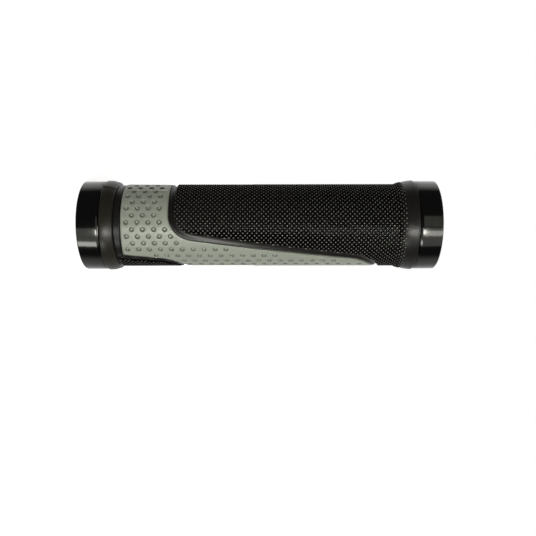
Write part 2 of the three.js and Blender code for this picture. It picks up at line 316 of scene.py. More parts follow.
def flash(angle):
    """Height of the fine line that the mould's parting leaves, at an angle."""
    away = min(abs((angle - seam + 180) % 360 - 180) for seam in seams)
    return flash_height * max(0, 1 - unrolled(away) / flash_width)


def smooth_step(value, low, high):
    """Rises smoothly from 0 to 1 as a value goes from low to high."""
    share = min(1, max(0, (value - low) / (high - low)))
    return share * share * (3 - 2 * share)


def groove_shape(angle):
    """The groove's width beside the knurl at an angle, and how far it has the wing's section, as shares."""
    place = folded(angle)
    past_root = smooth_step(place, root_place, root_place + wing_root_radius)
    round_tip = smooth_step(place, tip_place - tongue_corner_radius, tip_place)
    width = band_groove + (wing_groove - band_groove) * past_root
    return width + (tip_groove - width) * round_tip, past_root * (1 - round_tip)


# %% The moulded body
body_segments = 360
crease_width = 0.3
crease_depth = 0.1
crease_flat = 0.2
crease_end = flange_end + crease_width
crease_radius = root_radius - crease_depth
flange_flat = 2.2
flange_drop = 0.75
flange_shoulder = 0.15
flare_blend = 0.3
flare_slack = 0.25
flare_bend = 2.3
flare_foot = flare_start - flare_blend
flare_steps = 14
lip_size = 0.4
lip_middle = (0.12, 0.08)
seam_steps = (-0.83, -0.4, 0, 0.4, 0.83)
closest_angles = 0.3

flange_section = softened((
    (rubber_bore, rubber_start, 0),
    (flange_radius, rubber_start, 0.45),
    (flange_radius, rubber_start + flange_flat, 0.9),
    (flange_radius - flange_drop, flange_end - flange_shoulder, 0.4),
    (crease_radius, flange_end, 0.12),
    (crease_radius, flange_end + crease_flat, 0),
))
flare_curve = (
    Vector((root_radius, flare_foot)),
    Vector((flange_radius - flare_slack, flare_start + flare_bend)),
    Vector((flange_radius, rubber_end - lip_size)),
)
flare_lip = [
    (flange_radius - lip_middle[0], rubber_end - lip_middle[1]),
    (flange_radius - lip_size, rubber_end),
    (rubber_bore, rubber_end),
]


def flare_point(share):
    """A point of the flare's curve, from the body to the ring, as (radius, z)."""
    first, middle, last = flare_curve
    return tuple(first * (1 - share) ** 2 + middle * 2 * share * (1 - share) + last * share**2)


flare_section = [flare_point(step / flare_steps) for step in range(flare_steps + 1)]


def rear_groove(angle):
    """The groove on the flange's side: a shallow collar along the band, and a groove round the patch.

    Rows that the crease beside the flange would swallow are stacked on it, a hair apart.
    """
    patch = smooth_step(folded(angle), patch_start, patch_full)
    rows = []
    for row, (offset, _, depth) in reversed(list(enumerate(groove))):
        if row >= recess_rows:
            depth = collar_depth + (depth - collar_depth) * patch
        lowest = crease_end + row_rise * (len(groove) - row)
        rows.append((pad_radius - depth, max(lowest, rear_edge(angle, offset * wing_groove))))
    return rows


def knurl_groove(angle):
    """The groove on the knurl's side, blended between the band's section and the wing's."""
    width, on_wing = groove_shape(angle)
    rows = []
    for offset, beside_band, along_wing in groove:
        depth = beside_band + (along_wing - beside_band) * on_wing
        rows.append((pad_radius - depth, knurl_edge(angle, max(part_gap, offset * width))))
    return rows


def rubber_section(angle):
    """The rubber's section at an angle: flange, collar, recess for the inlay, groove, body and flare."""
    ridge = flash(angle)
    flange = [(radius + (ridge if radius > root_radius else 0), z) for radius, z in flange_section]
    recess = [(root_radius, crease_end)] + rear_groove(angle) + knurl_groove(angle)
    return flange + recess + flare_section + flare_lip


mirrored_corner = (2 * seam_angle - band_corner_angle) % 360
special_angles = [band_corner_angle, mirrored_corner] + [seam + step for seam in seams for step in seam_steps]
rubber_angles = sorted(
    special_angles
    + [
        angle
        for angle in full_turn(body_segments)
        if all(abs(angle - special) > closest_angles for special in special_angles)
    ]
)
rubber_body = revolve("rubber_body", rubber_angles, rubber_section)
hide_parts("grip_rubber")
print("rubber body:", len(rubber_body.data.polygons), "faces")

# %% [markdown]
# The knurl is some thousands of small raised diamonds in staggered rows. A bump map would leave the grip's
# silhouette smooth and the export without its texture, so each diamond is a small stepped pyramid,
# sunk a little into the body. Those at the edge of the groove have their corners pulled back to it, as a
# mould's pattern is cut off at its edge.

# %% The knurl
knurl_pitch = 1.66
knurl_rows = 110
knurl_levels = ((-0.1, 1.06), (0.24, 0.68), (0.49, 0.36), (knurl_height, 0.2))
knurl_margin = 2.55
knurl_start = crease_end + 0.1
knurl_end = flare_start + 2.2
knurl_sharp_limit = 75
row_step = 360 / knurl_rows
flare_rise = 0.53
flare_easing = 0.08


def knurl_spans(angle):
    """The stretches of the body that carry the knurl at an angle, as (lowest, highest)."""
    patch = (knurl_start, rear_edge(angle, knurl_margin * wing_groove))
    body = (knurl_edge(angle, knurl_margin * groove_shape(angle)[0]), knurl_end)
    return patch, body


def surface_radius(z):
    """Radius of the knurl's roots at a height. They rise with the flare, a little less than its surface."""
    along = max(0, z - flare_foot)
    return root_radius + flare_rise * along - flare_easing * along**2


def diamond_points(angle, z, span):
    """Four corners on each level of a diamond, kept inside the stretch of knurl that it belongs to."""
    corner_points = []
    for height, share in knurl_levels:
        for turn, lift in ((1, 0), (0, 1), (-1, 0), (0, -1)):
            corner_angle = angle + turn * row_step * share
            low, high = knurl_spans(corner_angle)[span]
            corner_z = min(high, max(low, z + lift * knurl_pitch / 2 * share))
            corner_points.append(around(surface_radius(corner_z) + height, corner_angle, corner_z))
    return corner_points


def diamond_faces(start):
    """The sides between a diamond's levels, and its top."""
    sides = [
        (lower + side, lower + (side + 1) % 4, lower + 4 + (side + 1) % 4, lower + 4 + side)
        for lower in range(start, start + 4 * (len(knurl_levels) - 1), 4)
        for side in range(4)
    ]
    top = start + 4 * (len(knurl_levels) - 1)
    return sides + [(top, top + 1, top + 2, top + 3)]


points = []
faces = []
for row in range(knurl_rows):
    stagger = knurl_pitch / 2 if row % 2 else 0
    for span, (low, high) in enumerate(knurl_spans(row * row_step)):
        first = math.ceil((low - stagger) / knurl_pitch)
        last = math.floor((high - stagger) / knurl_pitch)
        for number in range(first, last + 1):
            faces += diamond_faces(len(points))
            points += diamond_points(row * row_step, number * knurl_pitch + stagger, span)
rubber_knurl = make_piece("rubber_knurl", points, faces, knurl_sharp_limit)
print("knurl:", len(points) // (4 * len(knurl_levels)), "diamonds")

# %% [markdown]
# ## The grey inlay
# The inlay is a thin shell with a rounded edge and rows of round dimples. Cutting hundreds of dimples with
# booleans is slow and leaves ragged shading. Instead the surface is drawn flat, unrolled, with rings of
# points round every dimple and rows of points along the bevel. A constrained Delaunay triangulation joins
# them, and each point is then lifted to its depth and wrapped round the grip.

# %% Where the dimples lie
dimple_radius = 0.95
dimple_depth = 0.68
dimple_pitch = 3.92
dimple_first = band_start + 2.1
dimple_row_angle = 33.9
band_row_pitch = 9.75
band_rows = 20
tongue_rows = 14
tongue_row_pitch = (360 - band_rows * band_row_pitch) / tongue_rows
edge_margin = 1.69
rear_margin = 1.25


def row_angle(row):
    """The angle of a row of dimples. The rows lie closer together across the band than the tongue."""
    return dimple_row_angle + row * (band_row_pitch if row < 0 else tongue_row_pitch)


dimples = []
for row in range(1 - band_rows, 1 + tongue_rows):
    angle = row_angle(row)
    z = dimple_first + (dimple_pitch / 2 if row % 2 else 0)
    while z < knurl_edge(angle, -edge_margin):
        if z > rear_edge(angle, -rear_margin):
            dimples.append((angle, z))
        z += dimple_pitch
print(len(dimples), "dimples")

# %% [markdown]
# The unrolled pattern is cut open between two rows of dimples, where the band is plain. Two lists hold its
# points and their depths below the surface, and a third holds the edges that the triangulation must keep.
# The first rows follow the bevel, the cut and the mould's parting line.

# %% The pattern's edges, cut and parting line
bevel = ((0, 0.3), (0.05, 0.2), (0.14, 0.12), (0.3, 0.055), (0.55, 0.015), (0.85, 0))
bevel_width = bevel[-1][0]
dimple_profile = (
    (0, dimple_depth), (0.3, 0.67), (0.55, 0.58), (0.77, 0.33), (0.91, 0.12), (1.03, 0.02), (1.14, 0),
)
grid_step = 1.1
cut_angle = row_angle(-9.5)
round_length = unrolled(360)

flat_points = []
flat_edges = []
dips = []


def pattern_angle(place):
    """The angle of a place along the unrolled pattern."""
    return cut_angle + math.degrees(place / pad_radius)


def pattern_place(angle):
    """The place of an angle along the unrolled pattern."""
    return unrolled((angle - cut_angle) % 360)


def dimple_dip(distance):
    """Depth of a dimple's rounded pit at a distance from its centre."""
    share = distance / dimple_radius
    for (near, deep), (far, shallow) in zip(dimple_profile, dimple_profile[1:]):
        if share <= far:
            return deep + (shallow - deep) * (share - near) / (far - near)
    return 0


def pit_depth(place, z):
    """Depth of the dimpled surface at a place of the pattern."""
    return dimple_dip(min(math.hypot(place - x, z - y) for x, y in dimple_places))


def add_row(places, dip_of, closed=False):
    """Adds a row of flat points with their depths, joined by edges."""
    start = len(flat_points)
    for place in places:
        flat_points.append(Vector(place))
        dips.append(dip_of(place))
    count = len(places)
    flat_edges.extend((start + index, start + index + 1) for index in range(count - 1))
    if closed:
        flat_edges.append((start + count - 1, start))


def between(low, high, steps):
    """Evenly spaced heights between two others."""
    return [low + (high - low) * step / steps for step in range(1, steps)]


dimple_places = [(pattern_place(angle), z) for angle, z in dimples]
row_places = sorted({0, round_length} | {pattern_place(angle) for angle in rubber_angles})
for inset, dip in bevel:
    for edge in (rear_edge, knurl_edge):
        row = [(place, edge(pattern_angle(place), -inset)) for place in row_places]
        add_row(row, lambda spot, dip=dip: dip)

cut_steps = math.ceil((knurl_edge(cut_angle, 0) - rear_edge(cut_angle, 0)) / grid_step)
cut_rear = rear_edge(cut_angle, -bevel_width)
cut_front = knurl_edge(cut_angle, -bevel_width)
cut_dips = {rear_edge(cut_angle, -inset): dip for inset, dip in bevel}
cut_dips |= {z: 0 for z in between(cut_rear, cut_front, cut_steps)}
cut_dips |= {knurl_edge(cut_angle, -inset): dip for inset, dip in reversed(bevel)}
for side in (0, round_length):
    add_row([(side, z) for z in cut_dips], lambda spot: cut_dips[spot[1]])

for seam in seams:
    for shift in (-flash_width, 0, flash_width):
        place = pattern_place(seam) + shift
        low = rear_edge(pattern_angle(place), -bevel_width)
        high = knurl_edge(pattern_angle(place), -bevel_width)
        ridge = flash_height if shift == 0 else 0
        heights = between(low, high, math.ceil((high - low) / grid_step))
        add_row([(place, z) for z in heights], lambda spot, ridge=ridge: pit_depth(*spot) - ridge)
print("rows on the pattern:", len(flat_points), "points")

# %% [markdown]
# Every dimple adds its centre and a ring of points for each step of its profile. A grid of plain points
# fills the surface between them, so that the triangles there stay even, and it keeps clear of the dimples,
# the bevel and the parting line.

# %% The pattern's dimples and plain surface
dimple_sides = 14
dimple_edge = dimple_radius * dimple_profile[-1][0]
dimple_gap = 0.3
bevel_gap = 0.35
cell_size = 5

for place, z in dimple_places:
    flat_points.append(Vector((place, z)))
    dips.append(dimple_depth)
    for share, dip in dimple_profile[1:]:
        radius = share * dimple_radius
        turns = [math.tau * side / dimple_sides for side in range(dimple_sides)]
        ring = [(place + radius * math.cos(turn), z + radius * math.sin(turn)) for turn in turns]
        add_row(ring, lambda spot, dip=dip: dip, closed=True)

dimple_cells = {}
for place, z in dimple_places:
    dimple_cells.setdefault((int(place // cell_size), int(z // cell_size)), []).append((place, z))


def clear_of_dimples(place, z):
    """Whether a place of the pattern lies outside every dimple near it, with a small gap."""
    column, line = int(place // cell_size), int(z // cell_size)
    near = [
        dimple
        for shift in (-1, 0, 1)
        for rise in (-1, 0, 1)
        for dimple in dimple_cells.get((column + shift, line + rise), [])
    ]
    return all(math.hypot(place - x, z - y) > dimple_edge + dimple_gap for x, y in near)


for column in range(1, math.ceil(round_length / grid_step)):
    place = column * grid_step
    angle = pattern_angle(place)
    from_seam = min(abs(place - pattern_place(seam)) for seam in seams)
    if place > round_length - grid_step / 2 or from_seam < 2 * flash_width:
        continue
    low = rear_edge(angle, -bevel_width - bevel_gap)
    high = knurl_edge(angle, -bevel_width - bevel_gap)
    for line in range(math.ceil(low / grid_step), math.floor(high / grid_step) + 1):
        z = line * grid_step + (grid_step / 2 if column % 2 else 0)
        if low < z < high and clear_of_dimples(place, z):
            flat_points.append(Vector((place, z)))
            dips.append(0)

inside_only = 1
crossing_tolerance = 1e-5
flat_mesh = delaunay_2d_cdt(flat_points, flat_edges, [], inside_only, crossing_tolerance)
wrapped, _, triangles, origins = flat_mesh[:4]
print("pattern:", len(wrapped), "points and", len(triangles), "triangles")

# %% [markdown]
# The triangulation tells which given points each of its points comes from. The surface is closed to a shell
# by a wall along each edge and a plain face inside, and points that lie within a hair of each other are
# welded, so that the shell is one closed piece.

# %% The inlay's shell
weld_distance = 2e-6
inlay_sharp_limit = 50
rim_dip = bevel[0][1]


def depth_at(place, z, origin):
    """Depth of a pattern point: its own, or the pits' depth where two rows cross at a new point."""
    return dips[origin[0]] if origin else pit_depth(place, z)


def inlay_wall(place):
    """The shell's corners at a place: the rear edge's rim and foot, then the other edge's foot and rim."""
    angle = pattern_angle(place)
    low, high = rear_edge(angle, 0), knurl_edge(angle, 0)
    rim = pad_radius - rim_dip
    wall = ((rim, low), (pad_inner, low), (pad_inner, high), (rim, high))
    return [around(radius, angle, z) for radius, z in wall]


shell_points = [
    around(pad_radius - depth_at(spot.x, spot.y, origin), pattern_angle(spot.x), spot.y)
    for spot, origin in zip(wrapped, origins)
]
shell_faces = [tuple(triangle) for triangle in triangles]
for place, after in zip(row_places, row_places[1:]):
    start = len(shell_points)
    shell_points += inlay_wall(place) + inlay_wall(after)
    shell_faces += [(start + row, start + row + 1, start + row + 5, start + row + 4) for row in range(3)]
grey_inlay = make_piece("grey_inlay", shell_points, shell_faces, inlay_sharp_limit)
form = bmesh.new()
form.from_mesh(grey_inlay.data)
bmesh.ops.remove_doubles(form, verts=form.verts, dist=weld_distance)
bmesh.ops.recalc_face_normals(form, faces=form.faces)
shade(form, inlay_sharp_limit)
open_edges = sum(1 for edge in form.edges if len(edge.link_faces) != 2)
form.to_mesh(grey_inlay.data)
form.free()
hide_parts("grey_pad")
print("inlay:", len(grey_inlay.data.polygons), "faces,", open_edges, "open edges")

# %% [markdown]
# ## The clamp rings, set screws and sleeve
# The rings are turned from bar, with a chamfer on every corner, three keyways inside that hold the
# sleeve's keys, and a tapped hole for a set screw. The turned shape is a section carried round, and
# booleans cut the keyways and the hole, because those have straight sides that a section can't follow.

# %% Helpers that cut with booleans
key_angle = 30
key_count = 3
key_reach = rubber_start - sleeve_start
screw_angle = 95
cutter_overlap = 1
key_angles = [screw_angle + (key + 0.5) * 360 / key_count for key in range(key_count)]


def tube_slice(name, inner, outer, middle, width, bottom, top):
    """A slice of a tube between two radii, round a middle angle, used as a cutter."""
    steps = math.ceil(width)
    angles = [middle - width / 2 + width * step / steps for step in range(steps + 1)]
    section = ((inner, bottom), (outer, bottom), (outer, top), (inner, top))
    points = [around(radius, angle, z) for angle in angles for radius, z in section]
    faces = []
    for step in range(steps):
        here = 4 * step
        for corner in range(4):
            after = (corner + 1) % 4
            faces.append((here + corner, here + 4 + corner, here + 4 + after, here + after))
    faces.append((0, 1, 2, 3))
    faces.append(tuple(4 * steps + corner for corner in (3, 2, 1, 0)))
    return make_piece(name, points, faces)


def point_outwards(piece, radius, angle, z):
    """Turns a piece made along +Z at the origin to point out of the grip at an angle and a height."""
    upright = Matrix.Rotation(math.pi / 2, 4, "X")
    turned = Matrix.Rotation(math.radians(angle), 4, "Z")
    piece.data.transform(Matrix.Translation(around(radius, angle, z)) @ turned @ upright)


def cut_away(piece, cutters):
    """Cuts pieces out of another, applies the cuts and removes the cutters."""
    for cutter in cutters:
        cut = piece.modifiers.new(cutter.name, "BOOLEAN")
        cut.operation = "DIFFERENCE"
        cut.solver = "EXACT"
        cut.object = cutter
    graph = bpy.context.evaluated_depsgraph_get()
    trimmed = bpy.data.meshes.new_from_object(piece.evaluated_get(graph))
    piece.modifiers.clear()
    form = bmesh.new()
    form.from_mesh(trimmed)
    shade(form, sharp_limit)
    form.to_mesh(piece.data)
    form.free()
    bpy.data.meshes.remove(trimmed)
    for cutter in cutters:
        bpy.data.objects.remove(cutter)


# %% The clamp rings
edge_chamfer = 0.25
lip_run = 0.75
lip_drop = 0.3
bore_chamfer = 0.4
edge_rounding = 0.08
lip_rounding = 0.12
rounding_steps = 3
hole_radius = 1.7
hole_sides = 48
countersink = 0.25
ring_angles = full_turn(240)
ring_corners = (
    (bore_radius + bore_chamfer, 0, 0),
    (ring_radius - edge_chamfer, 0, edge_rounding),
    (ring_radius, edge_chamfer, edge_rounding),
    (ring_radius, ring_width - lip_run, lip_rounding),
    (ring_radius - lip_drop, ring_width, edge_rounding),
    (bore_radius, ring_width, 0),
    (bore_radius, bore_chamfer, 0),
)


def hole_cutter():
    """A countersunk cylinder at the place of a ring's set screw."""
    foot = -2 * (ring_radius - bore_radius)
    section = (
        (0, foot),
        (hole_radius, foot),
        (hole_radius, -countersink),
        (hole_radius + 2 * countersink, countersink),
        (0, countersink),
    )
    cutter = revolve("screw_hole", full_turn(hole_sides), lambda angle: section, closed=False)
    point_outwards(cutter, ring_radius, screw_angle, ring_width / 2)
    return cutter


def clamp_ring(name, node, turned_over):
    """A ring with its keyways open towards the rubber and a hole for its set screw."""
    ring = revolve(name, ring_angles, lambda angle: softened(ring_corners, rounding_steps))
    fit_angle = 2 * math.degrees(part_gap / sleeve_radius)
    keyways = [
        tube_slice(
            "keyway", bore_radius - cutter_overlap, sleeve_radius + part_gap, angle, key_angle + fit_angle,
            ring_width - key_reach, ring_width + cutter_overlap,
        )
        for angle in key_angles
    ]
    cut_away(ring, keyways + [hole_cutter()])
    if turned_over:
        ring.data.transform(Matrix.Translation((0, 0, grip_length * MM)) @ Matrix.Diagonal((1, 1, -1, 1)))
        ring.data.flip_normals()
    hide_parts(node)
    return ring


clamp_rings = [
    clamp_ring("clamp_ring_beside_band", "clamp_ring_band_end", False),
    clamp_ring("clamp_ring_beside_flare", "clamp_ring_flare_end", True),
]
print("rings:", [len(ring.data.polygons) for ring in clamp_rings], "faces")

# %% [markdown]
# Each set screw is an M3 cup-point screw with a hexagonal socket. A screw thread is a helix, but seen in
# one section it is only a zigzag that moves along the axis as the section turns. So the same revolving
# helper makes it, with a radius that depends on height and angle together, and the hexagon comes from the
# same trick.

# %% The set screws
screw_length = 3.6
screw_setback = 1.1
screw_radius = 1.5
screw_sides = 48
screw_sharp_limit = 40
thread_pitch = 0.5
thread_depth = 0.27
thread_rows = 58
point_chamfer = 0.5
cup_radius = 0.55
cup_depth = 0.4
socket_across = 1.5
socket_depth = 1.7
socket_chamfer = 0.08
socket_cone = 0.35


def thread_radius(angle, z):
    """Radius of the thread: a zigzag along the axis that advances one pitch in each turn."""
    phase = (z / thread_pitch + angle / 360) % 1
    crest = 1 - abs(2 * phase - 1)
    from_end = min(-z, screw_length + z)
    limit = screw_radius - max(0, point_chamfer - from_end)
    return min(limit, screw_radius - thread_depth * (1 - crest))


def socket_radius(angle):
    """Radius of the hexagonal socket's wall at an angle."""
    return socket_across / 2 / math.cos(math.radians((angle + 30) % 60 - 30))


def screw_section(angle):
    """The screw's section at an angle: its cup point, thread and socket, with its head at height 0."""
    rows = [-screw_length + screw_length * row / thread_rows for row in range(thread_rows + 1)]
    cup = [(0, cup_depth - screw_length), (cup_radius, -screw_length)]
    thread = [(thread_radius(angle, z), z) for z in rows]
    wall = socket_radius(angle)
    socket = [(wall + socket_chamfer, 0), (wall, -socket_chamfer), (wall, -socket_depth)]
    return cup + thread + socket + [(0, -socket_depth - socket_cone)]


def set_screw(name, node, z):
    """A set screw in the hole of the ring at a height."""
    screw = revolve(name, full_turn(screw_sides), screw_section, closed=False, limit=screw_sharp_limit)
    point_outwards(screw, ring_radius - screw_setback, screw_angle, z)
    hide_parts(node)
    return screw


set_screws = [
    set_screw("set_screw_beside_band", "set_screw_band_end", ring_width / 2),
    set_screw("set_screw_beside_flare", "set_screw_flare_end", grip_length - ring_width / 2),
]
print("screws:", [len(screw.data.polygons) for screw in set_screws], "faces")

# %% [markdown]
# The sleeve is hard nylon. It hardly shows, but it lines the bore and its keys reach into the rings, so
# it is made as the CAD has it: a tube whose ends are cut away between the keys.

# %% The sleeve
sleeve_edge = 0.15
sleeve_corners = (
    (bore_radius, sleeve_start, sleeve_edge),
    (sleeve_radius, sleeve_start, sleeve_edge),
    (sleeve_radius, sleeve_end, sleeve_edge),
    (bore_radius, sleeve_end, sleeve_edge),
)
sleeve = revolve("nylon_sleeve", ring_angles, lambda angle: softened(sleeve_corners, rounding_steps))
end_heights = ((sleeve_start - cutter_overlap, rubber_start), (rubber_end, sleeve_end + cutter_overlap))
key_gaps = [
    tube_slice(
        "key_gap", bore_radius - cutter_overlap, sleeve_radius + cutter_overlap, angle + 180 / key_count,
        360 / key_count - key_angle, low, high,
    )
    for angle in key_angles
    for low, high in end_heights
]
cut_away(sleeve, key_gaps)
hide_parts("inner_sleeve")
print("sleeve:", len(sleeve.data.polygons), "faces")

# %% [markdown]
# The grip has no joints, so every piece rides on its one body. The slot of a piece tells which of the
# record's materials it is made of.

# %% Every piece rides on the grip's one body
slots = {
    "black_rubber": [rubber_body, rubber_knurl],
    "grey_rubber": [grey_inlay],
    "anodised_ring": clamp_rings,
    "screw_steel": set_screws,
    "sleeve_nylon": [sleeve],
}
for slot_name, pieces in slots.items():
    for piece in pieces:
        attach(piece, "root")
print("pieces:", sum(len(pieces) for pieces in slots.values()))

# %% [markdown]
# ## Finishes
# Blender's materials are graphs of nodes. Written one call at a time, even a simple sum takes several
# lines. Here a small class wraps a node's output and overloads Python's operators, so that
# `1 - mask * 0.2` adds the Math nodes by itself. Every other node comes from one method that takes the
# node's type, its settings and its sockets.

# %% A class that writes shader maths as Python
class Socket:
    """A node's output. Arithmetic on it adds Math nodes."""

    def __init__(self, finish, output):
        self.finish = finish
        self.output = output

    def maths(self, operation, first, second, clamp=False):
        settings = {"operation": operation, "use_clamp": clamp}
        return self.finish.node("ShaderNodeMath", settings, {0: first, 1: second})

    def __add__(self, other):
        return self.maths("ADD", self, other)

    def __sub__(self, other):
        return self.maths("SUBTRACT", self, other)

    def __mul__(self, other):
        return self.maths("MULTIPLY", self, other)

    def __truediv__(self, other):
        return self.maths("DIVIDE", self, other)

    def __rsub__(self, other):
        return self.maths("SUBTRACT", other, self)

    def __rtruediv__(self, other):
        return self.maths("DIVIDE", other, self)

    def __pow__(self, other):
        return self.maths("POWER", self, other)

    __radd__ = __add__
    __rmul__ = __mul__

    def clamped(self):
        """The value held between 0 and 1."""
        return self.maths("ADD", self, 0.0, clamp=True)


class Finish:
    """A material's or the world's node tree, filled by the node method."""

    def __init__(self, owner):
        owner.use_nodes = True
        self.tree = owner.node_tree
        self.tree.nodes.clear()

    def node(self, kind, settings=None, sockets=None, output=0):
        """Adds a node, makes its settings, then fills its sockets with values or links."""
        made = self.tree.nodes.new(kind)
        for key, value in (settings or {}).items():
            setattr(made, key, value)
        for key, value in (sockets or {}).items():
            if isinstance(value, Socket):
                self.tree.links.new(value.output, made.inputs[key])
            else:
                made.inputs[key].default_value = value
        return Socket(self, made.outputs[output]) if made.outputs else None

    def place(self):
        """The position on the grip in metres."""
        return self.node("ShaderNodeTexCoord", output="Object")

    def parts(self, vector):
        """A vector's x, y and z as three sockets."""
        split = self.node("ShaderNodeSeparateXYZ", {}, {0: vector}).output.node
        return [Socket(self, split.outputs[axis]) for axis in range(3)]

    def axis_distance(self, place):
        """The distance of a place to the grip's axis, and its height, in metres."""
        x, y, z = self.parts(place)
        return (x * x + y * y) ** 0.5, z

    def rays(self, *kinds):
        """A socket for each kind of ray, which is 1 for such a ray and 0 for another."""
        path = self.node("ShaderNodeLightPath").output.node
        return [Socket(self, path.outputs[f"Is {kind} Ray"]) for kind in kinds]

    def noise(self, vector, scale, detail=2.0):
        return self.node("ShaderNodeTexNoise", {}, {"Vector": vector, "Scale": scale, "Detail": detail})

    def blend(self, share, first, second):
        """A colour between two others, by a share from 0 to 1."""
        return self.node("ShaderNodeMix", {"data_type": "RGBA"}, {0: share, 6: first, 7: second}, output=2)

    def bump(self, height, distance, strength):
        return self.node("ShaderNodeBump", {}, {"Height": height, "Distance": distance, "Strength": strength})

    def principled(self, **sockets):
        """A Principled shader. Underscores in a socket's name stand for spaces."""
        named = {key.replace("_", " "): value for key, value in sockets.items()}
        return self.node("ShaderNodeBsdfPrincipled", {}, named)

    def surface(self, shader):
        """Puts a shader on the material's surface."""
        self.node("ShaderNodeOutputMaterial", {}, {"Surface": shader})

    def mixed_surface(self, share, first, second):
        """Puts a mix of two shaders on the surface, by a share from 0 to 1."""
        self.surface(self.node("ShaderNodeMixShader", {}, {0: share, 1: first, 2: second}))


def finish_for(name, pieces):
    """A new material on some pieces, as a Finish."""
    material = bpy.data.materials.new(name)
    for piece in pieces:
        piece.data.materials.clear()
        piece.data.materials.append(material)
    return Finish(material)


# %% [markdown]
# The grey rubber is soft and matt with a fine grain from the mould. The walls of its dimples get painted
# shade: a darker base colour that stands in for the shadow in the pits. The distance to the axis tells how
# deep a point lies in a pit, on any side of the grip, and depth times what is left of it is greatest
# half-way down, on the wall.

# %% Grey rubber
grey = finish_for("grey_rubber_finish", [grey_inlay])
grey_plain = (0.262, 0.285, 0.238, 1)
grey_dusty = (0.232, 0.252, 0.21, 1)
grey_painted_pit_shade = (0.065, 0.07, 0.055, 1)
painted_pit_shade_strength = 3.4
place = grey.place()
from_axis, z = grey.axis_distance(place)
pit = ((pad_radius * MM - from_axis) / (dimple_depth * MM)).clamped()
mottle = grey.noise(place, 160, 3)
grain = grey.noise(place, 5200)
colour = grey.blend(mottle, grey_plain, grey_dusty)
# Painted shade: the dimple walls get a darker base colour in place of the shadow in the pits.
grey.surface(grey.principled(
    Base_Color=grey.blend(pit * (1 - pit) * painted_pit_shade_strength, colour, grey_painted_pit_shade),
    Roughness=(mottle * 0.1 + 0.3).clamped(),
    Normal=grey.bump(grain, 0.00003, 0.5),
    Specular_IOR_Level=0.55,
))
print("grey rubber:", len(grey.tree.nodes), "nodes")

# %% [markdown]
# The smooth parts of the black rubber are satin, and a little dusty on the flange. The knurl takes two
# shaders. Its flanks are matt and painted nearly black, darker than the body, as painted shade between the
# diamonds. Its tips are paler, partly from wear and partly as a painted highlight, and shine. They are
# mixed by the height above the knurl's roots, and a high power keeps the shine to the tips.

# %% Black rubber
black = finish_for("black_rubber_finish", [rubber_body])
black_plain = (0.008, 0.0075, 0.0065, 1)
black_dusty = (0.015, 0.0135, 0.009, 1)
flange_fade = 0.6
place = black.place()
x, y, z = black.parts(place)
on_flange = ((flange_end * MM - z) / (flange_fade * MM)).clamped()
mottle = black.noise(place, 220, 3)
grain = black.noise(place, 4200)
black.surface(black.principled(
    Base_Color=black.blend(on_flange * (mottle * 0.5 + 0.7), black_plain, black_dusty),
    Roughness=(mottle * 0.08 + 0.27).clamped(),
    Normal=black.bump(grain, 0.00003, 0.35),
    Specular_IOR_Level=0.3,
))

knurled = finish_for("knurled_rubber_finish", [rubber_knurl])
# Painted shade: the flanks are darker than the body's black, for the shade between the diamonds.
flank_black_painted_shade = (0.0015, 0.0015, 0.0014, 1)
# Partly wear and partly painted highlight: the paler tips stand in for the shine of the rounded tips.
tip_wear_and_painted_highlight = (0.085, 0.08, 0.07, 1)
tip_power = 7
place = knurled.place()
from_axis, z = knurled.axis_distance(place)
along = (z - flare_foot * MM).clamped() / MM
root = (along * flare_rise - along * along * flare_easing + root_radius) * MM
height = ((from_axis - root) / (knurl_height * MM)).clamped()
flank = knurled.principled(Base_Color=flank_black_painted_shade, Roughness=0.9, Specular_IOR_Level=0.0)
tip = knurled.principled(
    Base_Color=tip_wear_and_painted_highlight,
    Roughness=(knurled.noise(place, 220, 3) * 0.1 + 0.3).clamped(),
    Specular_IOR_Level=0.8,
)
knurled.mixed_surface(height**tip_power, flank, tip)
print("black rubber:", len(black.tree.nodes) + len(knurled.tree.nodes), "nodes")

# %% [markdown]
# Anodised aluminium keeps the fine marks of the lathe under a hard, dyed skin. The marks run round the
# ring, so their noise depends only on the height and on the distance to the axis.

# %% Black anodised rings
anodised = finish_for("black_anodised_finish", clamp_rings)
anodised_plain = (0.064, 0.064, 0.062, 1)
anodised_pale = (0.08, 0.079, 0.076, 1)
from_axis, z = anodised.axis_distance(anodised.place())
lathe_place = anodised.node("ShaderNodeCombineXYZ", {}, {0: from_axis, 2: z})
marks = anodised.noise(lathe_place, 9000)
drift = anodised.noise(lathe_place, 600, 1)
anodised.surface(anodised.principled(
    Base_Color=anodised.blend(drift, anodised_plain, anodised_pale),
    Metallic=1.0,
    Roughness=(marks * 0.05 + drift * 0.04 + 0.08).clamped(),
    Normal=anodised.bump(marks, 0.000004, 0.5),
))
print("anodised rings:", len(anodised.tree.nodes), "nodes")

# %% [markdown]
# The screws have a black oxide skin that is uneven on steel, so its noise changes both its colour and its
# gloss. The nylon sleeve is plain, with a faint cloudiness.

# %% Black oxide screws and the nylon sleeve
steel = finish_for("black_oxide_finish", set_screws)
oxide_dark = (0.05, 0.05, 0.055, 1)
oxide_pale = (0.12, 0.12, 0.125, 1)
oxide = steel.noise(steel.place(), 2600, 3)
steel.surface(steel.principled(
    Base_Color=steel.blend(oxide, oxide_dark, oxide_pale),
    Metallic=1.0,
    Roughness=(oxide * 0.2 + 0.3).clamped(),
    Normal=steel.bump(oxide, 0.00001, 0.4),
))

